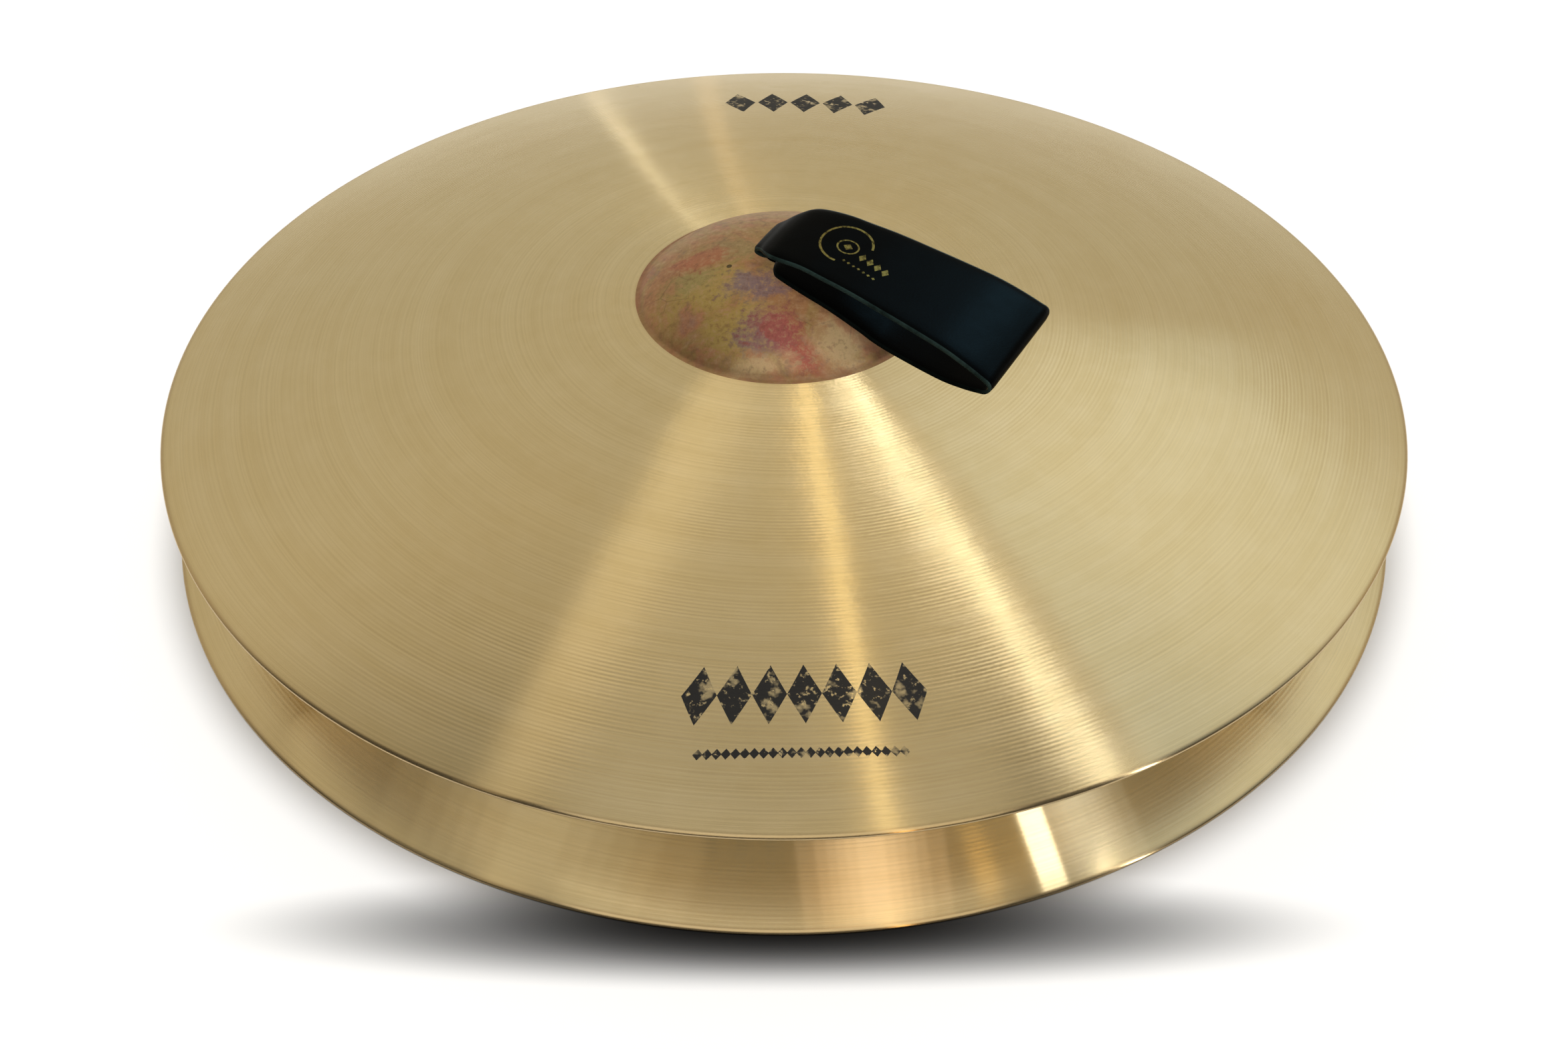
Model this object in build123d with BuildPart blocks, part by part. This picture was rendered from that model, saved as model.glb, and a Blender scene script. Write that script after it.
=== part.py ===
from build123d import *
import os
from math import cos, pi, radians, sin

os.makedirs("parts", exist_ok=True)

# A pair of 17 inch hand cymbals laid one on the other, domes up.
# Millimetres, +Z up, the origin on the floor at the centre of the lower rim.

rim_radius = 215.9          # 17 inch plate
bell_radius = 49.4          # where the raised bell leaves the bow
bow_height = 36.5           # top of the bow at the bell's foot, above the rim plane
bell_rise = 17.0            # from the bell's foot to its crown
hole_radius = 6.35          # half inch hole for the strap
edge_thickness = 1.0
bow_thickness = 1.1
bell_thickness = 1.8
rest_flat = 1.0             # width of the ring the rim stands on
nesting_height = 41.5       # the upper plate's rim plane over the lower one's

leather = 1.8               # thickness of the folded band
band_root_half = 17.0       # half width of the band at the shoulder
band_fold_half = 24.45      # half width of the band at its fold
neck_half = 8.0             # half width where the band gathers over the hole
fold_reach = 88.3           # from the plate's axis to the outside of the fold
strap_heading = -28.1       # degrees, the way the loop lies
root_radius = 3.2           # rolled leather at the neck, round about the tipping axis
root_reach = -4.2           # the tipping axis, along the strap and over the rim plane
root_height = 57.0
weight_rise = 7.5           # the lower loop stands fuller under the upper plate

tail_thickness = 1.9
tail_inner = 1.6            # inner edge of a tail, beside the hole's axis
tail_outer = 9.2            # outer edge of a tail in the knot
tail_pinched = 5.6          # outer edge of a tail where it is pinched in the hole
tail_pinch_depth = 4.2      # how far under the hole a tail reaches its full width
bell_under = bow_height + bell_rise - bell_thickness    # underside of the bell's crown


def bow_top(radius):
    fall = (bow_height - edge_thickness) / (rim_radius**2 - bell_radius**2)
    return edge_thickness + fall * (rim_radius**2 - radius**2)


def plate_section():
    """Half section of one plate, rim plane at height 0, drawn right of the axis."""
    crown = bow_height + bell_rise
    with BuildLine() as section:
        bell = Spline(
            (bell_radius, bow_height),
            (0.90 * bell_radius, bow_height + 0.30 * bell_rise),
            (0.75 * bell_radius, bow_height + 0.575 * bell_rise),
            (0.55 * bell_radius, bow_height + 0.80 * bell_rise),
            (0.30 * bell_radius, bow_height + 0.95 * bell_rise),
            (hole_radius, crown),
        )
        reaches = [bell_radius + (rim_radius - 0.4 - bell_radius) * step / 8 for step in range(9)]
        bow = Spline(*[(reach, bow_top(reach)) for reach in reaches])
        flat_start = rim_radius - 0.2 - rest_flat
        under_bow = [(reach, bow_top(reach) - bow_thickness - 0.3 * (1 - reach / rim_radius))
                     for reach in reaches[1:-1]]
        foot = (bell_radius - 1.3, bow_height - bell_thickness + 0.1)
        under_bell = [
            (point.X - bell_thickness * slope.Y, point.Y + bell_thickness * slope.X)
            for point, slope in [(bell @ place, bell % place) for place in (0.25, 0.5, 0.75)]
        ]
        Spline(foot, *under_bell, (hole_radius, crown - bell_thickness))
        Spline(foot, *under_bow, (flat_start, 0))
        Line((flat_start, 0), (rim_radius - 0.2, 0))
        Line((rim_radius - 0.2, 0), (rim_radius, 0.25))
        Line((rim_radius, 0.25), (rim_radius, 0.75))
        Line((rim_radius, 0.75), bow @ 1)
        Line((hole_radius, crown), (hole_radius, crown - bell_thickness))
    return section.line


def band_section(floor, rise):
    """Side outline of the folded leather, drawn in (reach, height) along the strap's heading."""
    upper = [(-4.2, 59.3), (0, 62.0), (5.7, 63.1), (15, 62.9), (24, 61.6), (34, 60.0), (46, 57.4),
             (57, 54.9), (69, 51.9), (78, 48.6)]
    lower = [(78, 39.6), (70, 39.7), (58, 41.7), (46, 44.5), (38, 47.9), (27, 52.0), (16.5, 54.3),
             (11, 55.2), (5.7, 56.4), (1.0, 57.7), (-3.0, 57.4)]
    fold_reach_centre, fold_height, fold_bend = fold_reach - 3.7, 43.0, 2.8
    fold = [
        (fold_reach_centre + fold_bend * cos(radians(angle)), fold_height + fold_bend * sin(radians(angle)))
        for angle in (65, 35, 0, -35, -65, -95)
    ]
    lifted = [(reach, height + rise * sin(pi * (reach + 4.2) / 92)) for reach, height in upper + fold]
    points = [(reach, floor + height) for reach, height in lifted + lower]
    middle = Edge.make_spline([Vector(*point) for point in points])
    places = [step / 90 for step in range(91)]
    outside, inside = [], []
    for place in places:
        point, slope = middle.position_at(place), middle.tangent_at(place)
        outside.append((point.X - slope.Y * leather / 2, point.Y + slope.X * leather / 2))
        inside.append((point.X + slope.Y * leather / 2, point.Y - slope.X * leather / 2))
    with BuildLine() as outline:
        Spline(*outside)
        Spline(*inside)
        Line(outside[0], inside[0])
        Line(outside[-1], inside[-1])
    return outline.line


# Corners of one knot tail's middle line, (out along its quarter, up from under the hole): down the
# hole, out under the bell, back beneath its neighbour and over the next, round once more, then free.
tail_run = [
    (0.75, 1.80), (0.75, -2.90), (14.3, -2.90), (14.3, -9.00), (1.90, -9.00), (-1.90, -6.00),
    (-13.0, -6.00), (-13.0, -14.0), (-1.90, -14.0), (1.90, -11.2), (11.0, -11.2), (20.5, -22.6),
]
tail_bend = 1.8             # radius of the tail's middle line at those corners

heading = radians(strap_heading)
strap_side = Plane(origin=(0, 0, 0), x_dir=(cos(heading), sin(heading), 0),
                   z_dir=(sin(heading), -cos(heading), 0))
strap_top = Plane(origin=(0, 0, 0), x_dir=(cos(heading), sin(heading), 0), z_dir=(0, 0, 1))
band_outline = [
    (root_reach - root_radius - 0.6, neck_half), (root_reach - 0.6, neck_half),
    (3.0, band_root_half - 0.6), (6.5, band_root_half + 0.2), (fold_reach + 2, band_fold_half),
    (fold_reach + 2, -band_fold_half), (6.5, -band_root_half - 0.2), (3.0, 0.6 - band_root_half),
    (root_reach - 0.6, -neck_half), (root_reach - root_radius - 0.6, -neck_half),
]

for side, floor, rise in (("lower", 0, weight_rise), ("upper", nesting_height, 0)):
    # The plate: a thin bronze disc with a bowed face, a raised bell and a plain hole.
    with BuildPart() as cymbal:
        with BuildSketch(Plane.XZ):
            with BuildLine():
                add(plate_section().moved(Location((0, floor))))
            make_face()
        revolve(axis=Axis.Z)
        foot_edges = cymbal.edges().filter_by(
            lambda edge: edge.geom_type == GeomType.CIRCLE
            and abs(edge.radius - bell_radius) < 0.01
        )
        fillet(foot_edges, 1.6)
    cymbal.part.label = side + "_cymbal"
    export_step(cymbal.part, "parts/" + side + "_cymbal.step")

    # The hand loop: one leather band folded back on itself and gathered to a neck over the hole.
    with BuildPart() as strap:
        with BuildSketch(strap_side):
            with BuildLine():
                add(band_section(floor, rise))
            make_face()
            with Locations((root_reach, floor + root_height)):
                Circle(root_radius)
        extrude(amount=band_fold_half + 1, both=True)
        with BuildSketch(strap_top.offset(floor)):
            with BuildLine():
                Polyline(*band_outline, close=True)
            make_face()
        extrude(amount=120, mode=Mode.INTERSECT)
    strap.part.label = side + "_strap"
    export_step(strap.part, "parts/" + side + "_strap.step")

    # The knot under the bell: four tails go down the hole and are plaited twice over each other.
    for quarter in range(4):
        turn = radians(strap_heading + 90 * quarter)
        ahead, aside = (cos(turn), sin(turn), 0), (sin(turn), -cos(turn), 0)
        under_hole = floor + bell_under
        with BuildPart() as tail:
            tail_side = Plane(origin=(0, 0, under_hole), x_dir=ahead, z_dir=aside)
            with BuildSketch(tail_side.offset(tail_inner)):
                with BuildLine():
                    FilletPolyline(*tail_run, radius=tail_bend)
                trace(line_width=tail_thickness)
            extrude(amount=tail_outer - tail_inner)
            full_width = Plane(origin=(0, 0, under_hole - tail_pinch_depth), x_dir=ahead,
                               z_dir=(0, 0, 1))
            with BuildSketch(full_width):
                with BuildLine():
                    Polyline((-1, -tail_pinched), (2.4, -tail_pinched), (5.6, -tail_outer - 0.1),
                             (-1, -tail_outer - 0.1), close=True)
                make_face()
            extrude(amount=tail_pinch_depth + 3, mode=Mode.SUBTRACT)
        tail_name = side + "_tail_" + str(quarter + 1)
        tail.part.label = tail_name
        export_step(tail.part, "parts/" + tail_name + ".step")
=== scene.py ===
from math import cos, log, pi, radians, sin, sqrt

import bpy
from mathutils import Matrix, Vector, noise


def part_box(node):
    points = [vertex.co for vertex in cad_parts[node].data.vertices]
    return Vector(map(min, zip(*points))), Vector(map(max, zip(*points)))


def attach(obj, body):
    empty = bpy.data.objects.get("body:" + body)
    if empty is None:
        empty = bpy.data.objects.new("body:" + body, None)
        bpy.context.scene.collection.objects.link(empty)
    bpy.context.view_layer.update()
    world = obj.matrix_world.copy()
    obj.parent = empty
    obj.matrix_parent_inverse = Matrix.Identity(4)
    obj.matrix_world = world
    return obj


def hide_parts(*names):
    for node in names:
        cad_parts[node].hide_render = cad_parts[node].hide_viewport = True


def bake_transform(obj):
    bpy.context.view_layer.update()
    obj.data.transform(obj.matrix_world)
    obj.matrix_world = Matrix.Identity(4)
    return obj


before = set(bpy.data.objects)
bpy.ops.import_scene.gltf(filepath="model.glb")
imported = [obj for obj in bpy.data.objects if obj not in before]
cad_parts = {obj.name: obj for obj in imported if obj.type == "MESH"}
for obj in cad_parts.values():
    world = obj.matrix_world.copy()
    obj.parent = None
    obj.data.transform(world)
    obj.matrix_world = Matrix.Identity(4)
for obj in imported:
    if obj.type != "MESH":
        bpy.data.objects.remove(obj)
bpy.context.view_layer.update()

MM = 0.001
UP = Vector((0, 0, 1))


def bearing(turn):
    """The level direction at this angle from the x axis."""
    return Vector((cos(turn), sin(turn), 0))


# ---------------------------------------------------------------- sizes
# The rim and the lift are read from the frame; the others are the part's own.
low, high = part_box("lower_cymbal")
RIM = (high[0] - low[0]) / 2
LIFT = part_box("upper_cymbal")[0][2] - low[2]
BELL = 49.4 * MM                    # radius of the bell's foot
BOW_HEIGHT = 36.5 * MM              # from the rim plane to the bell's foot
BELL_RISE = 17.0 * MM
CROWN = BOW_HEIGHT + BELL_RISE
HOLE = 6.35 * MM
EDGE = 1.0 * MM                     # thickness of the rim
HEADING = radians(-28.1)            # the way the hand loops lie
ALONG = bearing(HEADING)
ACROSS = bearing(HEADING + pi / 2)


def plate_top(radius):
    """Height of the plate's upper face over its rim plane."""
    if radius >= BELL:
        return EDGE + (BOW_HEIGHT - EDGE) * (RIM**2 - radius**2) / (RIM**2 - BELL**2)
    return BOW_HEIGHT + BELL_RISE * (1 - (radius / BELL) ** 2.2) ** 0.78


# ---------------------------------------------------------------- node helpers
class Nodes:
    """Short calls for building one material."""

    def __init__(self, name):
        self.material = bpy.data.materials.new(name)
        self.material.use_nodes = True
        self.tree = self.material.node_tree
        self.shader = self.tree.nodes["Principled BSDF"]

    def add(self, kind, settings=None, **inputs):
        node = self.tree.nodes.new(kind)
        for key, value in (settings or {}).items():
            setattr(node, key, value)
        for key, value in inputs.items():
            self.set(node, key, value)
        return node

    def set(self, node, key, value):
        """Link value into a socket, or write it there when it is a plain number or colour."""
        if hasattr(value, "is_output"):
            self.tree.links.new(value, node.inputs[key])
        else:
            node.inputs[key].default_value = value

    def math(self, operation, first, second=None, clamp=False):
        node = self.add("ShaderNodeMath", {"operation": operation, "use_clamp": clamp})
        self.set(node, 0, first)
        if second is not None:
            self.set(node, 1, second)
        return node.outputs[0]

    def plus(self, first, second):
        return self.math("ADD", first, second)

    def minus(self, first, second):
        return self.math("SUBTRACT", first, second)

    def times(self, first, second):
        return self.math("MULTIPLY", first, second)

    def over(self, first, second):
        return self.math("DIVIDE", first, second)

    def size(self, value):
        return self.math("ABSOLUTE", value)

    def squares(self, first, second):
        """The sum of the two squares."""
        return self.plus(self.times(first, first), self.times(second, second))

    def union(self, first, *others):
        """One mask out of several."""
        for other in others:
            first = self.math("MAXIMUM", first, other)
        return first

    def split(self, vector):
        """The first two parts of a vector."""
        parts = self.add("ShaderNodeSeparateXYZ", Vector=vector)
        return parts.outputs[0], parts.outputs[1]

    def mix(self, factor, first, second):
        node = self.add("ShaderNodeMix", {"data_type": "RGBA", "clamp_factor": True})
        self.set(node, 0, factor)
        for index, value in ((6, first), (7, second)):
            self.set(node, index, (*value, 1.0) if isinstance(value, tuple) else value)
        return node.outputs[2]

    def tint(self, tone, mask, amount, colour):
        """Tone moved towards colour by amount where the mask is full."""
        return self.mix(self.times(mask, amount), tone, colour)

    def ramp(self, value, stops):
        node = self.add("ShaderNodeValToRGB")
        elements = node.color_ramp.elements
        while len(elements) < len(stops):
            elements.new(0.5)
        for element, (place, shade) in zip(elements, stops):
            element.position = place
            colour = shade if isinstance(shade, tuple) else (shade,) * 3
            element.color = (*colour, 1.0)
        self.tree.links.new(value, node.inputs[0])
        return node.outputs[0]

    def rise(self, value, start, end):
        """0 below start, 1 above end."""
        return self.ramp(value, [(start, 0.0), (end, 1.0)])

    def fall(self, value, start, end):
        """1 below start, 0 above end."""
        return self.ramp(value, [(start, 1.0), (end, 0.0)])

    def noise(self, vector, scale, detail, roughness=0.5, distortion=0.0):
        return self.add("ShaderNodeTexNoise", Vector=vector, Scale=scale, Detail=detail,
                        Roughness=roughness, Distortion=distortion).outputs["Fac"]

    def bump(self, height, strength, distance, normal=None):
        node = self.add("ShaderNodeBump", Strength=strength, Distance=distance, Height=height)
        if normal is not None:
            self.set(node, "Normal", normal)
        return node.outputs["Normal"]


def polar(n):
    """Object position, its radius in millimetres and its azimuth in radians."""
    place = n.add("ShaderNodeTexCoord").outputs["Object"]
    across, along = n.split(place)
    radius = n.times(n.math("SQRT", n.squares(across, along)), 1 / MM)
    return place, radius, n.math("ARCTAN2", along, across)


# ---------------------------------------------------------------- bronze
GROOVE_PITCH = 1.3                  # millimetres between the lathe's grooves
ARCH = 0.0022                       # how much the ends of an ornament's row turn up


def lozenge_row(n, radius, azimuth, middle, count, pitch, half_height, fill):
    """Mask of an arched row of lozenges, a plain ornament, in millimetres. Middle is the row's
    radius and its azimuth in degrees, fill a lozenge's half width as a part of the pitch."""
    along = n.times(n.minus(azimuth, radians(middle[1])), middle[0])
    arch = n.times(n.times(along, along), ARCH)
    up = n.minus(n.minus(radius, middle[0]), arch)
    from_centre = n.math("PINGPONG", along, pitch / 2)
    shape = n.plus(n.over(from_centre, pitch * fill), n.over(n.size(up), half_height))
    in_row = n.math("LESS_THAN", n.size(along), count * pitch / 2)
    return n.times(n.math("LESS_THAN", shape, 1.0), in_row)


def bronze_bow(name, marked):
    """Turned bronze: rings, clouds and spokes of tone, a few pits and a brown edge."""
    n = Nodes(name)
    place, radius, azimuth = polar(n)
    # Rings: noise along the radius only, so every line runs round the plate.
    ring_place = n.add("ShaderNodeCombineXYZ", X=radius).outputs[0]
    broad = n.noise(ring_place, 0.09, 3.0, 0.6)
    fine = n.noise(ring_place, 1.1, 3.0, 0.7)
    swell = n.noise(ring_place, 0.05, 1.0)
    groove = n.math("SINE", n.times(radius, 2 * pi / GROOVE_PITCH))
    groove = n.times(groove, n.math("POWER", swell, 2.0))
    mottle = n.noise(place, 26.0, 5.0, 0.6)
    cloud = n.noise(place, 9.0, 2.0)
    spoke_place = n.add("ShaderNodeCombineXYZ", X=n.times(radius, 0.012),
                        Y=n.math("COSINE", azimuth), Z=n.math("SINE", azimuth)).outputs[0]
    spokes = n.noise(spoke_place, 9.0, 4.0, 0.65)

    tone = n.mix(n.rise(broad, 0.35, 0.7), (0.80, 0.655, 0.375), (0.86, 0.72, 0.44))
    tone = n.tint(tone, n.rise(cloud, 0.4, 0.75), 0.5, (0.78, 0.60, 0.30))
    tone = n.tint(tone, n.fall(fine, 0.42, 0.55), 0.16, (0.50, 0.38, 0.19))
    tone = n.tint(tone, n.rise(spokes, 0.4, 0.8), 0.35, (0.90, 0.76, 0.50))
    # A few pits of tarnish.
    pits = n.add("ShaderNodeTexVoronoi", Vector=place, Scale=34.0)
    pit = n.math("LESS_THAN", pits.outputs["Distance"], 0.022)
    chance = n.math("GREATER_THAN", n.noise(place, 14.0, 1.0), 0.60)
    tone = n.tint(tone, n.times(pit, chance), 0.7, (0.16, 0.09, 0.04))
    # The turned edge is darker and browner.
    lip = n.rise(n.over(radius, RIM / MM), 0.9935, 0.9975)
    tone = n.tint(tone, lip, 0.55, (0.34, 0.20, 0.08))

    rough = n.plus(0.17, n.times(mottle, 0.06))
    n.shader.inputs["Metallic"].default_value = 1.0
    if marked:
        # Plain ornaments in black ink, worn thin: two rows at the front and one at the back.
        ink = n.union(lozenge_row(n, radius, azimuth, (172.0, -88.0), 7, 10.2, 9.5, 0.50),
                      lozenge_row(n, radius, azimuth, (190.5, -88.5), 23, 2.7, 1.7, 0.55),
                      lozenge_row(n, radius, azimuth, (163.0, 87.0), 5, 13.0, 13.0, 0.46))
        worn = n.times(n.rise(n.noise(place, 420.0, 5.0, 0.7), 0.36, 0.42),
                       n.ramp(n.noise(place, 150.0, 3.0, 0.6), [(0.36, 0.35), (0.44, 1.0)]))
        ink = n.times(ink, worn)
        tone = n.mix(ink, tone, (0.012, 0.012, 0.014))
        n.set(n.shader, "Metallic", n.minus(1.0, n.times(ink, 0.95)))
        rough = n.plus(rough, n.times(ink, 0.2))
    n.set(n.shader, "Base Color", tone)
    n.set(n.shader, "Roughness", rough)
    n.shader.inputs["Anisotropic"].default_value = 1.0
    n.shader.inputs["Anisotropic Rotation"].default_value = 0.25
    tangent = n.add("ShaderNodeTangent", {"direction_type": "RADIAL", "axis": "Z"})
    n.set(n.shader, "Tangent", tangent.outputs[0])
    bump = n.bump(groove, 0.6, 0.05 * MM)
    bump = n.bump(fine, 0.25, 0.03 * MM, bump)
    bump = n.bump(spokes, 0.10, 0.25 * MM, bump)
    n.set(n.shader, "Normal", bump)
    return n.material


# Coloured spots of the bell: (how strong, colour, ((x, y, reach, stretch along x), ...)) in mm.
BELL_SPOTS = (
    (0.85, (0.52, 0.385, 0.12), ((-25, -15, 17, 1.1), (-17, -33, 13, 1.2))),        # olive
    (0.55, (0.38, 0.34, 0.15), ((-31, -8, 9, 1.2), (-18, 4, 8, 1.4))),              # green
    (0.75, (0.56, 0.19, 0.11), ((-29, 1, 6.5, 1.6),)),                              # red
    (0.75, (0.27, 0.19, 0.27), ((-9, -16, 7.5, 1.7), (-5, -36, 9, 1.3))),           # violet
    (0.8, (0.54, 0.13, 0.11), ((-1, -35, 8, 1.4), (6, -43, 7, 1.3))),               # crimson
    (0.75, (0.74, 0.56, 0.31), ((18, -38, 9, 1.3), (-8, -46, 4.5, 3.5))),           # straw
)


def bronze_bell():
    """The unturned bell: fired skin in rose and brown, with spots of other colours."""
    n = Nodes("bronze_bell")
    place, radius, _ = polar(n)
    across, along = (n.times(part, 1 / MM) for part in n.split(place))
    large = n.noise(place, 30.0, 4.0, 0.6, 0.6)
    middle = n.noise(place, 85.0, 6.0, 0.68, 0.4)
    small = n.noise(place, 420.0, 5.0, 0.72)
    speckle = n.noise(place, 900.0, 3.0, 0.7)

    def spot(x, y, reach, stretch):
        """A ragged spot round (x, y), full inside and gone past reach millimetres."""
        dx = n.over(n.minus(across, x), reach * stretch)
        dy = n.over(n.minus(along, y), reach)
        away = n.math("SQRT", n.squares(dx, dy))
        for wobble, depth in ((middle, 2.6), (large, 1.6), (small, 2.4)):
            away = n.plus(away, n.times(n.minus(wobble, 0.5), depth))
        return n.fall(away, 0.35, 0.95)

    tone = n.ramp(large, [(0.30, (0.42, 0.205, 0.105)), (0.43, (0.52, 0.27, 0.125)),
                          (0.50, (0.46, 0.30, 0.12)), (0.57, (0.53, 0.255, 0.135)),
                          (0.68, (0.40, 0.225, 0.155)), (0.80, (0.52, 0.34, 0.13))])
    for amount, colour, spots in BELL_SPOTS:
        tone = n.tint(tone, n.union(*(spot(*sizes) for sizes in spots)), amount, colour)
    # Fine grain: pale flecks and darker ones.
    tone = n.tint(tone, n.rise(small, 0.52, 0.66), 0.55, (0.62, 0.42, 0.25))
    tone = n.tint(tone, n.fall(small, 0.36, 0.48), 0.42, (0.22, 0.09, 0.065))
    tone = n.tint(tone, n.rise(speckle, 0.58, 0.70), 0.35, (0.66, 0.38, 0.22))
    tone = n.tint(tone, n.rise(middle, 0.56, 0.70), 0.35, (0.24, 0.165, 0.20))
    cracks = n.add("ShaderNodeTexVoronoi", {"feature": "DISTANCE_TO_EDGE"}, Vector=place, Scale=95.0)
    crack = n.times(n.fall(cracks.outputs["Distance"], 0.0, 0.03),
                    n.rise(n.noise(place, 40.0, 2.0), 0.55, 0.65))
    tone = n.tint(tone, crack, 0.35, (0.12, 0.06, 0.045))
    dots = n.add("ShaderNodeTexVoronoi", Vector=place, Scale=52.0)
    dot = n.times(n.math("LESS_THAN", dots.outputs["Distance"], 0.05),
                  n.math("GREATER_THAN", n.noise(place, 33.0, 1.0), 0.56))
    tone = n.tint(tone, dot, 0.85, (0.05, 0.04, 0.02))
    foot = n.rise(n.over(radius, BELL / MM), 0.975, 0.998)
    tone = n.tint(tone, foot, 0.35, (0.34, 0.18, 0.10))
    n.set(n.shader, "Base Color", tone)
    n.shader.inputs["Metallic"].default_value = 0.6
    n.set(n.shader, "Roughness", n.plus(0.36, n.times(middle, 0.2)))
    n.shader.inputs["Specular IOR Level"].default_value = 0.5
    bump = n.bump(small, 0.4, 0.10 * MM)
    bump = n.bump(middle, 0.3, 0.20 * MM, bump)
    n.set(n.shader, "Normal", bump)
    return n.material


# ---------------------------------------------------------------- leather
SHEET = 100.0                       # millimetres of leather to one unit of the map "sheet"


def ring_arc(n, x, y, middle, radii, thickness, opening=None):
    """Mask of an oval ring round middle, left open between the two angles of opening."""
    dx = n.over(n.minus(x, middle[0]), radii[0])
    dy = n.over(n.minus(y, middle[1]), radii[1])
    away = n.math("SQRT", n.squares(dx, dy))
    line = n.math("LESS_THAN", n.size(n.minus(away, 1.0)), thickness / (radii[0] + radii[1]))
    if opening is None:
        return line
    angle = n.math("ARCTAN2", dy, dx)
    gap = n.times(n.math("GREATER_THAN", angle, opening[0]), n.math("LESS_THAN", angle, opening[1]))
    return n.times(line, n.minus(1.0, gap))


def lozenge(n, x, y, middle, half_wide, half_tall):
    """Mask of one lozenge round middle."""
    shape = n.plus(n.over(n.size(n.minus(x, middle[0])), half_wide),
                   n.over(n.size(n.minus(y, middle[1])), half_tall))
    return n.math("LESS_THAN", shape, 1.0)


def foil_ornament(n):
    """Mask of a plain stamp on the loop's top layer: an open ring round a small ring and a lozenge,
    four lozenges beside them and seven dots below. Millimetres along and across the strap."""
    sheet = n.add("ShaderNodeUVMap", {"uv_map": "sheet"}).outputs[0]
    x, y = (n.times(part, SHEET) for part in n.split(sheet))
    marks = [ring_arc(n, x, y, (22.5, 2.0), (8.6, 10.0), 0.85, (-1.5, 0.25)),
             ring_arc(n, x, y, (23.5, 1.0), (3.6, 3.6), 0.6),
             lozenge(n, x, y, (23.5, 1.0), 1.7, 1.7)]
    for step in range(4):
        marks.append(lozenge(n, x, y, (30.0 + 3.1 * step, -1.2 - 0.7 * step), 1.3, 2.1))
    for step in range(7):
        marks.append(lozenge(n, x, y, (25.5 + 2.0 * step, -6.2 - 0.4 * step), 0.62, 0.62))
    return n.union(*marks)


def leather(name, stamped):
    """Black leather with paler cut edges that carry a painted highlight, and with worn foil where it is
    stamped.
    """
    n = Nodes(name)
    place = n.add("ShaderNodeTexCoord").outputs["Object"]
    run, edge = n.split(n.add("ShaderNodeUVMap", {"uv_map": "leather"}).outputs[0])
    grain = n.add("ShaderNodeTexVoronoi", Vector=place, Scale=1500.0)
    fibre = n.noise(place, 160.0, 5.0, 0.65)
    cloud = n.noise(place, 45.0, 3.0)
    tone = n.mix(n.rise(fibre, 0.35, 0.7), (0.0002, 0.0003, 0.0004), (0.0008, 0.0013, 0.0015))
    tone = n.tint(tone, n.rise(cloud, 0.45, 0.7), 0.5, (0.0004, 0.0010, 0.0011))
    # Cut edges are paler: partly their own burnished colour and partly a painted highlight, which is
    # strongest on the top layer. Edge is 1 along the cut.
    cut = n.times(n.rise(edge, 0.94, 1.0), n.ramp(fibre, [(0.3, 0.3), (0.6, 0.9)]))
    cut = n.times(cut, n.ramp(run, [(0.52, 1.0), (0.62, 0.12)]))
    # Pale teal cut-edge colour: burnished leather plus a painted highlight.
    tone = n.mix(cut, tone, (0.036, 0.064, 0.060))
    rough = n.plus(0.30, n.times(fibre, 0.12))
    if stamped:
        worn = n.ramp(n.noise(place, 700.0, 4.0, 0.7), [(0.38, 0.15), (0.52, 1.0)])
        foil = n.times(foil_ornament(n), worn)
        tone = n.mix(foil, tone, (0.24, 0.175, 0.045))
        n.set(n.shader, "Metallic", n.times(foil, 0.6))
        rough = n.plus(rough, n.times(foil, 0.12))
    n.set(n.shader, "Base Color", tone)
    n.set(n.shader, "Roughness", rough)
    n.shader.inputs["Specular IOR Level"].default_value = 0.018
    bump = n.bump(grain.outputs["Distance"], 0.2, 0.06 * MM)
    bump = n.bump(fibre, 0.25, 0.12 * MM, bump)
    n.set(n.shader, "Normal", bump)
    return n.material


BOWS = {"upper": bronze_bow("bronze_bow", True), "lower": bronze_bow("bronze_bow_plain", False)}
BELL_SKIN = bronze_bell()
LEATHER = leather("black_leather", True)
PLAIN_LEATHER = leather("knot_leather", False)


# ---------------------------------------------------------------- meshes
def new_object(name, points, faces, materials, face_slots=None, uvs=None):
    """A smooth mesh object; uvs holds one list of map places per point under each map's name."""
    mesh = bpy.data.meshes.new(name)
    mesh.from_pydata(points, [], faces)
    for material in materials:
        mesh.materials.append(material)
    if face_slots:
        mesh.polygons.foreach_set("material_index", face_slots)
    mesh.polygons.foreach_set("use_smooth", [True] * len(mesh.polygons))
    for title, spots in (uvs or {}).items():
        layer = mesh.uv_layers.new(name=title)
        for loop in mesh.loops:
            layer.data[loop.index].uv = spots[loop.vertex_index]
    mesh.update()
    piece = bpy.data.objects.new(name, mesh)
    bpy.context.scene.collection.objects.link(piece)
    return piece


# ---------------------------------------------------------------- plates
AROUND = 288                        # points round each ring of a plate
BOW_RINGS = 240                     # keeps a plate below 200,000 triangles
BOW_UNDER_RINGS = 36
BELL_RINGS = 30
BELL_UNDER_RINGS = 20


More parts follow.
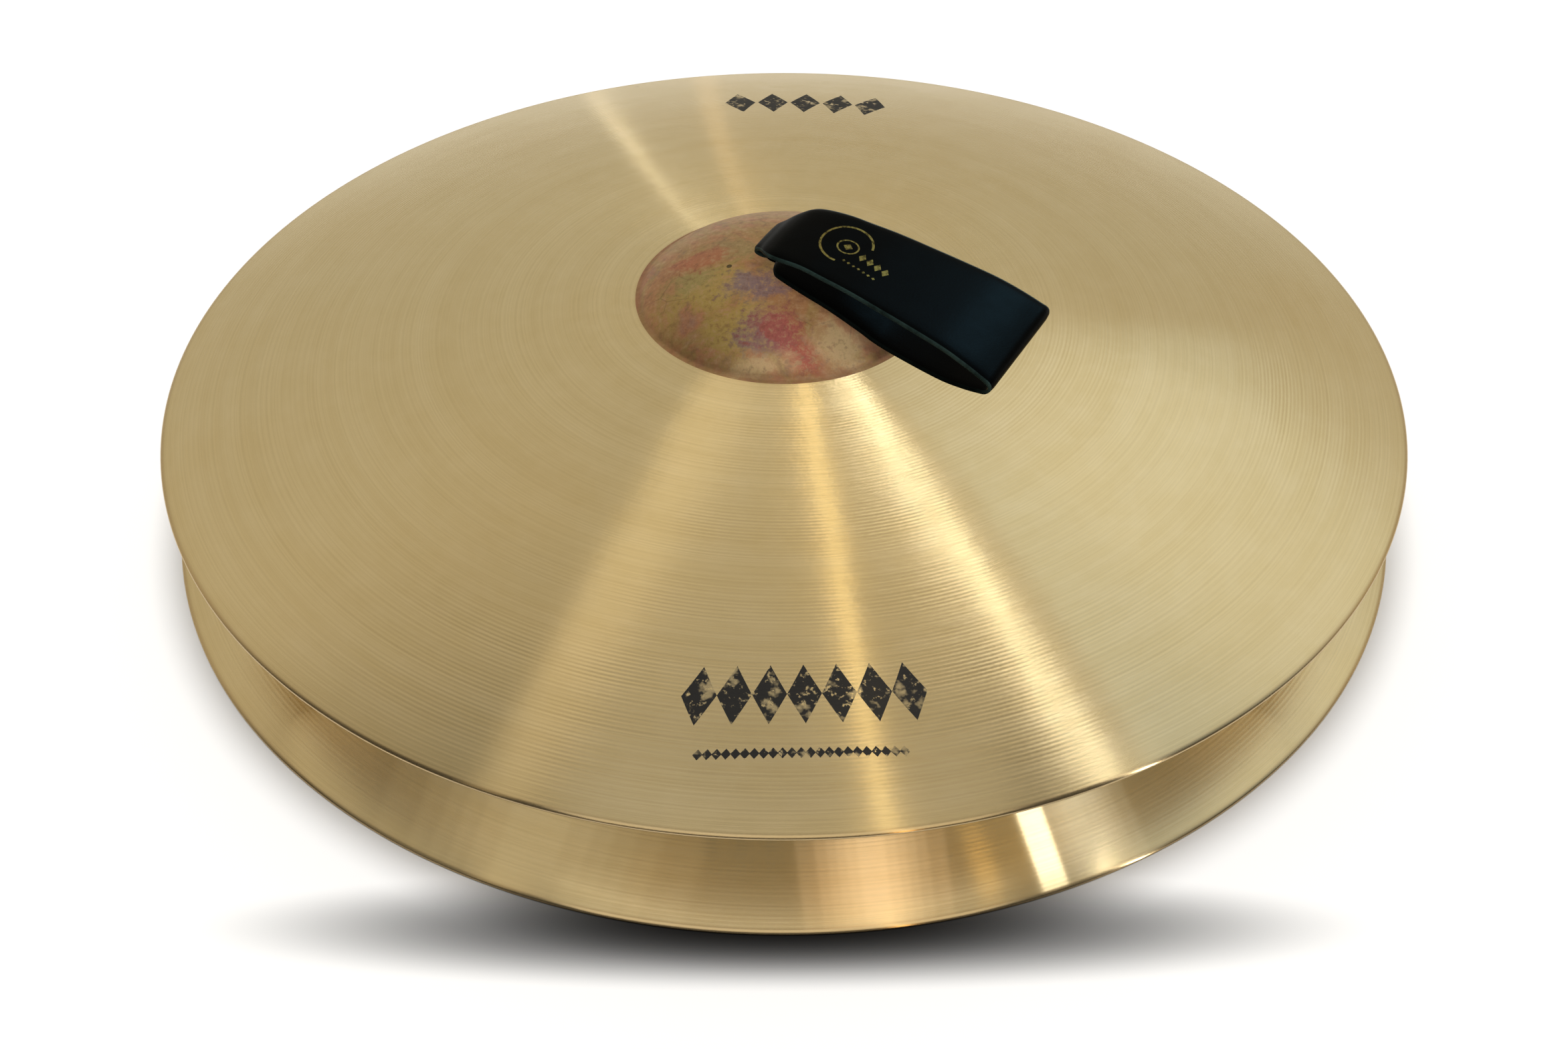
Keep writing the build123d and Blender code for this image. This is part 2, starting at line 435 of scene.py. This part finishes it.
def hammered(radius, turn, seed):
    """The slow unevenness that lathe and hammer leave on the bow, fading out at its borders."""
    inner, outer, fading = BELL * 1.02, RIM * 0.992, 10 * MM
    if radius < inner or radius > outer:
        return 0.0
    fade = min(1.0, (radius - inner) / fading, (outer - radius) / fading)
    dents = noise.noise(Vector((radius * cos(turn) * 30, radius * sin(turn) * 30, seed)))
    rings = noise.noise(Vector((radius * 160, 3.7, seed)))
    spokes = noise.noise(Vector((cos(turn) * 4.0, sin(turn) * 4.0, radius * 14 + seed)))
    return fade * (0.05 * dents + 0.015 * rings + 0.02 * spokes) * MM


def eased(start, end, steps):
    """Numbers from start to end, closer together towards the end."""
    return [start + (end - start) * sin(pi / 2 * step / steps) for step in range(steps + 1)]


def even(start, end, steps):
    return [start + (end - start) * step / steps for step in range(steps + 1)]


def bow_thickness(radius):
    return (1.1 + 0.3 * (1 - radius / RIM)) * MM


def plate_section():
    """The plate's closed outline as (radius, height) pairs, from the hole over the top, round the
    lip and back underneath, then the places in it where the bow's upper face starts and ends."""
    bell = [(radius, plate_top(radius)) for radius in eased(HOLE + 0.35 * MM, BELL * 0.985, BELL_RINGS)]
    bell += [(BELL * 0.997, BOW_HEIGHT + 0.55 * MM), (BELL + 0.35 * MM, BOW_HEIGHT + 0.12 * MM)]
    bow = [(radius, plate_top(radius)) for radius in even(BELL + 1.6 * MM, RIM - 0.5 * MM, BOW_RINGS)]
    lip = [(RIM - 0.22 * MM, 0.93 * MM), (RIM - 0.04 * MM, 0.72 * MM), (RIM, 0.45 * MM),
           (RIM - 0.06 * MM, 0.18 * MM), (RIM - 0.25 * MM, 0.0), (RIM - 1.1 * MM, 0.0)]
    under = [(radius, max(0.05 * MM, plate_top(radius) - bow_thickness(radius)))
             for radius in even(RIM - 1.8 * MM, BELL, BOW_UNDER_RINGS)]
    under += [(radius, plate_top(radius + 1.0 * MM) - 1.75 * MM)
              for radius in eased(BELL * 0.965, HOLE + 0.3 * MM, BELL_UNDER_RINGS)[1:]]
    hole = [(HOLE, CROWN - 1.45 * MM), (HOLE, CROWN - 0.3 * MM)]
    outline = [(radius, min(level, CROWN)) for radius, level in bell + bow + lip + under + hole]
    return outline, len(bell), len(bell) + len(bow)


def make_plate(name, height, seed, bow):
    """The plate's outline spun round its axis: slot 0 is the bow's metal, slot 1 the bell's."""
    outline, bow_start, bow_end = plate_section()
    points, faces, slots = [], [], []
    for index, (radius, level) in enumerate(outline):
        on_bow = bow_start <= index < bow_end
        after = (index + 1) % len(outline)
        slot = 1 if radius < BELL + 0.6 * MM else 0
        for spot in range(AROUND):
            turn = 2 * pi * spot / AROUND
            extra = hammered(radius, turn, seed) if on_bow else 0.0
            points.append((radius * cos(turn), radius * sin(turn), height + level + extra))
            beside = (spot + 1) % AROUND
            faces.append((index * AROUND + spot, after * AROUND + spot,
                          after * AROUND + beside, index * AROUND + beside))
            slots.append(slot)
    return new_object(name, points, faces, [bow, BELL_SKIN], slots)


# ---------------------------------------------------------------- straps and knots
LANES = 14                          # strips across a band of leather
ROUND_OFF = 0.42                    # how far its corners are cut back, as a part of its thickness
OFF_SHEET = 9.0                     # where the map "sheet" puts the faces that carry no stamp
BELL_HALF = 17.0                    # half width of the strap by the bell, in millimetres
FOLD_HALF = 24.45                   # the same at the fold


def smooth_path(points, per_span):
    """Points on a smooth curve through the given ones."""
    result = []
    for index in range(len(points) - 1):
        a = points[max(index - 1, 0)]
        b, c = points[index], points[index + 1]
        d = points[min(index + 2, len(points) - 1)]
        for step in range(per_span):
            t = step / per_span
            result.append(tuple(
                0.5 * (2 * q + (r - p) * t + (2 * p - 5 * q + 4 * r - s) * t * t
                       + (3 * q - p - 3 * r + s) * t**3)
                for p, q, r, s in zip(a, b, c, d)))
    result.append(tuple(points[-1]))
    return result


def band_profile():
    """The band's cross-section as (place across, cut back, depth): place and depth run from -1 to
    1, and cut back is 1 at the four corners, which are rounded off."""
    flat = [-1 + 2 * lane / LANES for lane in range(1, LANES)]
    return ([(-1, 1, 0.72)] + [(place, 0, 1) for place in flat]
            + [(1, 1, 0.72), (1, 0, 0.4), (1, 0, -0.4), (1, 1, -0.72)]
            + [(-place, 0, -1) for place in flat]
            + [(-1, 1, -0.72), (-1, 0, -0.4), (-1, 0, 0.4)])


def ribbon(name, stations, thickness, along, across, origin, per_span, skin):
    """A leather band. Each station is (reach, height, middle, half width, droop), in millimetres:
    reach along, height up, middle the centre line's shift across, droop how far the edges sag."""
    path = smooth_path(stations, per_span)
    profile = band_profile()
    fold = max(range(len(path)), key=lambda index: path[index][0])
    last, width = len(path) - 1, len(profile)
    points, faces, edges, sheet = [], [], [], []
    for index, (reach, level, middle, wide, droop) in enumerate(path):
        ahead, behind = path[min(index + 1, last)], path[max(index - 1, 0)]
        slope = Vector((ahead[0] - behind[0], ahead[1] - behind[1])).normalized()
        for place, cut_back, depth in profile:
            aside = place * (wide - cut_back * ROUND_OFF * thickness)
            out = depth * thickness / 2
            sag = droop * (aside / wide) ** 2
            points.append(origin + along * ((reach - slope[1] * out) * MM)
                          + across * ((middle + aside) * MM) + UP * ((level + slope[0] * out - sag) * MM))
            edges.append((index / last, 1.0 if abs(place) == 1 else 0.0))
            outside = depth > 0 and index < fold
            unseen = OFF_SHEET if place > 0 else -OFF_SHEET
            sheet.append((reach / SHEET, aside / SHEET if outside else unseen))
    for index in range(last):
        for spot in range(width):
            beside = (spot + 1) % width
            faces.append((index * width + spot, (index + 1) * width + spot,
                          (index + 1) * width + beside, index * width + beside))
    faces.append(tuple(range(width)))
    faces.append(tuple(reversed(range(last * width, last * width + width))))
    return new_object(name, points, faces, [skin], None, {"leather": edges, "sheet": sheet})


def strap_stations(rise):
    """The folded band from the hole, over the neck, out, round the fold and back to the hole.
    Rise is how far its upper layer arches up."""
    def lifted(reach, level):
        return level + rise * sin(pi * max(0.0, reach + 4.2) / 92)

    def wide(reach):
        return BELL_HALF + (FOLD_HALF - BELL_HALF) * max(0.0, reach - 4.0) / 84.0

    neck = [(-1.0, 52.6, 0, 4.6, 0), (-1.5, 54.2, 0, 5.6, 0), (-3.8, 55.2, 0, 7.6, 0),
            (-6.3, 56.3, 0, 8.0, 0.2), (-6.1, 58.2, 0, 8.6, 0.4), (-3.4, 59.9, 0, 10.5, 0.5),
            (0, 61.7, 0, 14.0, 0.5), (5.0, 62.9, 0, BELL_HALF, 0.4)]
    upper = [(reach, lifted(reach, level), 0, wide(reach), 0.2) for reach, level in (
        (15, 62.9), (24, 61.6), (34, 60.0), (46, 57.4), (57, 54.9), (69, 51.9), (78, 48.7), (84.4, 45.9))]
    fold = [(86.9, 44.4, 0, 24.4, 0), (87.3, 42.6, 0, 24.4, 0), (86.0, 40.9, 0, 24.4, 0)]
    lower = [(reach, level, 0, wide(reach), droop) for reach, level, droop in (
        (83, 40.2, 0), (78, 39.7, 0), (70, 39.7, 0), (58, 41.7, 0.2), (46, 44.6, 0.6), (38, 47.9, 1.0),
        (27, 52.0, 1.5), (16.5, 54.3, 1.2))]
    end = [(9.0, 55.5, 0, BELL_HALF, 0.8), (4.6, 55.8, 0, 15.5, 0.4), (2.2, 55.0, 0, 11.0, 0.1),
           (1.0, 53.4, 0, 5.0, 0), (0.9, 52.0, 0, 4.5, 0)]
    return neck + upper + fold + lower + end


def tail_stations():
    """One tail of the knot: down the hole, out, back, and round once more, then hanging free.
    Its inner edge keeps one distance from the axis; the outer one is pinched in the hole and
    tapers over the free end."""
    run = [(0.75, 1.2), (0.75, -0.8), (1.6, -2.4), (4.0, -2.9), (9.0, -2.9), (12.6, -3.1), (14.2, -5.0),
           (14.2, -7.0), (12.6, -8.9), (9.0, -9.0), (4.5, -9.0), (2.1, -8.9), (0, -7.5), (-2.1, -6.1),
           (-4.5, -6.0), (-8.5, -6.0), (-11.4, -6.2), (-12.9, -8.2), (-12.9, -11.8), (-11.4, -13.8),
           (-8.5, -14.0), (-4.5, -14.0), (-2.1, -13.8), (0, -12.6), (2.1, -11.4), (4.5, -11.2),
           (8.5, -11.2), (11.4, -11.8), (15.0, -15.9), (18.4, -20.0), (20.3, -22.3)]
    inner, full, pinched, last_full = 1.6, 9.0, (5.5, 5.5, 6.8), 26
    outer_edge = [full - 0.5 * max(0, index - last_full) for index in range(len(run))]
    outer_edge[:len(pinched)] = pinched
    return [(reach, level, -(inner + outer) / 2, (outer - inner) / 2, 0)
            for (reach, level), outer in zip(run, outer_edge)]


# ---------------------------------------------------------------- the pieces
KNOT_TOP = CROWN - 1.8 * MM                     # the underside of the bell at its hole
plates, straps, tails = {}, [], []
for side, height, seed, rise in (("lower", 0.0, 11.0, 7.5), ("upper", LIFT, 4.0, 0.0)):
    plate = make_plate(side + "_plate", height, seed, BOWS[side])
    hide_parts(side + "_cymbal")
    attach(plate, side + "_plate")
    plates[side] = plate
    strap = ribbon(side + "_hand_strap", strap_stations(rise), 1.8, ALONG, ACROSS, UP * height, 5, LEATHER)
    # The plates show a soft shade under the strap and no mirror image of it.
    strap.visible_glossy = False
    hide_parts(side + "_strap")
    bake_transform(strap)
    straps.append(strap)
    for quarter in range(4):
        turn = HEADING + quarter * pi / 2
        tail = ribbon(side + "_knot_tail_" + str(quarter + 1), tail_stations(), 1.75, bearing(turn),
                      bearing(turn + pi / 2), UP * (height + KNOT_TOP), 4, PLAIN_LEATHER)
        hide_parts(side + "_tail_" + str(quarter + 1))
        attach(tail, side + "_knot")
        tails.append(tail)


# ---------------------------------------------------------------- floor
FLOOR_HALF = 6.0
SHADE_MIDDLE = -212.5 * MM          # the shade's middle, in front of the axis
SHADE_HALF = (177 * MM, 24.2 * MM)


def floor_material():
    """Pale paper with a soft oval of shade under the front of the plates."""
    n = Nodes("pale_floor")
    x, y = n.split(n.add("ShaderNodeTexCoord").outputs["Object"])
    away = n.squares(n.over(x, SHADE_HALF[0]), n.over(n.minus(y, SHADE_MIDDLE), SHADE_HALF[1]))
    inside = n.math("SUBTRACT", 1.0, away, clamp=True)
    paper = n.minus(1.0, n.times(n.math("POWER", inside, 1.7), 0.86))
    tone = n.mix(n.math("POWER", paper, 2.2), (0.0, 0.0, 0.0), (0.92, 0.92, 0.92))
    n.set(n.shader, "Base Color", tone)
    n.shader.inputs["Roughness"].default_value = 0.7
    n.shader.inputs["Specular IOR Level"].default_value = 0.1
    return n.material


floor = new_object("floor", [(-FLOOR_HALF, -FLOOR_HALF, 0), (FLOOR_HALF, -FLOOR_HALF, 0),
                             (FLOOR_HALF, FLOOR_HALF, 0), (-FLOOR_HALF, FLOOR_HALF, 0)],
                   [(0, 1, 2, 3)], [floor_material()])


# ---------------------------------------------------------------- light
def group(title, members):
    """A collection outside the scene, which lamps use to pick what they light."""
    result = bpy.data.collections.new(title)
    for member in members:
        result.objects.link(member)
    return result


PARTS = group("parts_only", [*plates.values(), *straps, *tails])
STRAPS = group("straps_only", straps)
LOWER_PLATE = group("lower_plate_only", [plates["lower"]])
FLOOR = group("floor_only", [floor])

MIDDLE = Vector((0, 0, 0.07))       # what the studio's lamps look at
SIGHT = Vector((0, -0.8, 0.6))      # from the plates towards the camera
STAND = Vector((0, -0.6398, 0.4802 + LIFT))
STRIP_DISTANCE = 1.5
BAND_TILT = radians(17.8)           # slope of the lower plate's open band, at the point below
BAND_RADIUS, BAND_HEIGHT = 0.2, 0.006
BAND_DEGREE = 0.0038                # width of the lamp that lights one degree of the band
BAND_LAMP_RISE, BAND_LAMP_LENGTH = 0.03, 0.036
FADE_STEPS = 6                      # lamps that share one soft streak of the band


def area_light(name, toward, upward, distance, size, radiance, colour, lit=PARTS, centre=MIDDLE):
    """A rectangular light in direction toward from centre, its height along upward."""
    data = bpy.data.lights.new(name, "AREA")
    data.shape = "RECTANGLE"
    data.size, data.size_y = size
    data.energy = radiance * pi * size[0] * size[1]
    data.color = colour
    lamp = bpy.data.objects.new(name, data)
    bpy.context.scene.collection.objects.link(lamp)
    back = Vector(toward).normalized()
    side = Vector(upward).cross(back).normalized()
    turn = Matrix((side, back.cross(side), back)).transposed().to_4x4()
    lamp.matrix_world = Matrix.Translation(centre + back * distance) @ turn
    lamp.light_linking.receiver_collection = lit
    return lamp


def mirrored(azimuth, tilt, sight=SIGHT):
    """Where a ray from the camera goes from metal that leans outwards by tilt at this azimuth."""
    facing = UP * cos(tilt) + bearing(radians(azimuth)) * sin(tilt)
    return 2 * facing.dot(sight) * facing - sight


def light_strip(name, azimuth, width, radiance, colour, tilts=(2, 14, 26, 38, 50)):
    """A bent row of lights that turned metal shows as one streak along the radius. The tilts are
    those of the metal that mirrors the lights' joints, in degrees."""
    for part, (start, end) in enumerate(zip(tilts, tilts[1:])):
        first, last = mirrored(azimuth, radians(start)), mirrored(azimuth, radians(end))
        area_light(name + "_" + str(part + 1), first + last, last - first, STRIP_DISTANCE,
                   (width, (last - first).length * STRIP_DISTANCE), radiance, colour)


def tucked_light(name, upward, size, radiance, colour, place):
    """A light under the upper plate's rim that faces down and lights only the lower plate."""
    lamp = area_light(name, UP, upward, 0.0, size, radiance, colour, LOWER_PLATE, place)
    lamp.visible_camera = False


def band_light(name, azimuth, width, radiance, colour, layer):
    """A tucked light where the lower plate's open band mirrors it at this azimuth. Lights that
    overlap lie in layers of their own, given in millimetres."""
    outward = bearing(radians(azimuth))
    spot = outward * BAND_RADIUS + UP * BAND_HEIGHT
    reflected = mirrored(azimuth, BAND_TILT, (STAND - spot).normalized())
    place = spot + reflected * (BAND_LAMP_RISE / reflected.z) + UP * (layer * MM)
    tucked_light(name, outward, (width, BAND_LAMP_LENGTH), radiance, colour, place)


def band_streak(name, azimuth, spread, radiance, colour, layer):
    """Lights of shrinking width, one over another, so that the streak fades towards its sides as
    a bell curve of this spread in degrees does."""
    for step in range(FADE_STEPS):
        half = spread * sqrt(-log((step + 0.5) / FADE_STEPS))
        band_light(name + "_" + str(step + 1), azimuth, 2 * half * BAND_DEGREE,
                   radiance / FADE_STEPS, colour, layer + 0.2 * step)


def make_world():
    """Studio tones for the metal to reflect. Looked at directly, the backdrop is white."""
    world = bpy.data.worlds.new("studio")
    world.use_nodes = True
    tree = world.node_tree
    split = tree.nodes.new("ShaderNodeSeparateXYZ")
    tree.links.new(tree.nodes.new("ShaderNodeTexCoord").outputs["Generated"], split.inputs[0])
    shade = tree.nodes.new("ShaderNodeValToRGB")
    tree.links.new(split.outputs[1], shade.inputs[0])
    front, back = shade.color_ramp.elements
    front.position, front.color = 0.0, (0.07, 0.068, 0.063, 1)
    back.position, back.color = 0.35, (0.575, 0.512, 0.395, 1)
    far_back = shade.color_ramp.elements.new(0.9)
    far_back.color = (0.51, 0.475, 0.385, 1)
    backdrop = tree.nodes.new("ShaderNodeMix")
    backdrop.data_type = "RGBA"
    backdrop.inputs[7].default_value = (1, 1, 1, 1)
    tree.links.new(tree.nodes.new("ShaderNodeLightPath").outputs["Is Camera Ray"], backdrop.inputs[0])
    tree.links.new(shade.outputs[0], backdrop.inputs[6])
    tree.links.new(backdrop.outputs[2], tree.nodes["Background"].inputs[0])
    bpy.context.scene.world = world


def make_floor_key():
    """A wide sun that lights only the floor and gives the plates their soft shadow."""
    sun = bpy.data.lights.new("floor_key", "SUN")
    sun.angle = radians(33)
    sun.energy = 2.95
    lamp = bpy.data.objects.new("floor_key", sun)
    lamp.rotation_euler = (radians(-3.4), 0, 0)
    bpy.context.scene.collection.objects.link(lamp)
    lamp.light_linking.receiver_collection = FLOOR


make_world()
FRONT_TILTS, BACK_TILTS = (50, 60, 70), (-24, -12, 0)
light_strip("strip_white", 300.0, 0.022, 5.6, (1, 0.98, 0.94), (4, 14, 26, 38, 50))
light_strip("strip_white_front", 300.0, 0.05, 20.0, (1, 0.98, 0.94), FRONT_TILTS)
light_strip("strip_white_back", 313.5, 0.02, 0.85, (1, 0.95, 0.88), BACK_TILTS)
light_strip("strip_warm", 279.5, 0.033, 1.4, (1, 0.80, 0.46))
light_strip("strip_warm_front", 279.5, 0.05, 4.0, (1, 0.66, 0.30), FRONT_TILTS)
light_strip("strip_warm_back", 291.0, 0.03, 0.28, (1, 0.75, 0.5), BACK_TILTS)
light_strip("strip_soft", 244.5, 0.15, 0.31, (1, 0.85, 0.6))
area_light("wide_right", (0.62, 0.34, 0.70), UP, 2.0, (2.2, 1.2), 0.37, (0.64, 0.83, 1.0))
area_light("front_fill", (0.0, -0.45, 0.89), UP, 2.0, (1.8, 1.2), 1.1, (1, 0.95, 0.85))
area_light("back_soft", (0.27, 0.68, 0.68), UP, 2.0, (1.3, 0.8), 0.1, (1.0, 0.95, 0.85))
area_light("strap_sheen", (0.50, 0.59, 0.64), UP, 2.0, (0.3, 0.7), 15.0, (0.28, 0.72, 1.0), STRAPS)
band_streak("band_soft", 247.5, 10.0, 0.28, (1, 0.95, 0.82), 0.0)
band_streak("band_warm", 277.8, 4.3, 0.86, (1, 0.80, 0.67), 1.2)
band_streak("band_pale", 297.0, 3.6, 0.62, (0.85, 0.90, 1.0), 2.4)
band_light("band_white", 292.6, 0.0095, 2.0, (1, 0.98, 0.95), -1.0)
tucked_light("band_fill", (0, 1, 0), (0.36, 0.10), 0.15, (1, 0.97, 0.84), Vector((0, -0.165, 0.0345)))
make_floor_key()


# ---------------------------------------------------------------- camera
DOWNWARD = 40.57                    # degrees that the camera looks down
scene = bpy.context.scene
scene.view_settings.view_transform = "Standard"
scene.view_settings.look = "None"
camera_data = bpy.data.cameras.new("camera")
camera_data.lens = 51.8
camera_data.sensor_width = 36.0
camera_data.clip_start = 0.01
camera = bpy.data.objects.new("camera", camera_data)
scene.collection.objects.link(camera)
camera.location = STAND
camera.rotation_euler = (radians(90 - DOWNWARD), 0, 0)
scene.camera = camera
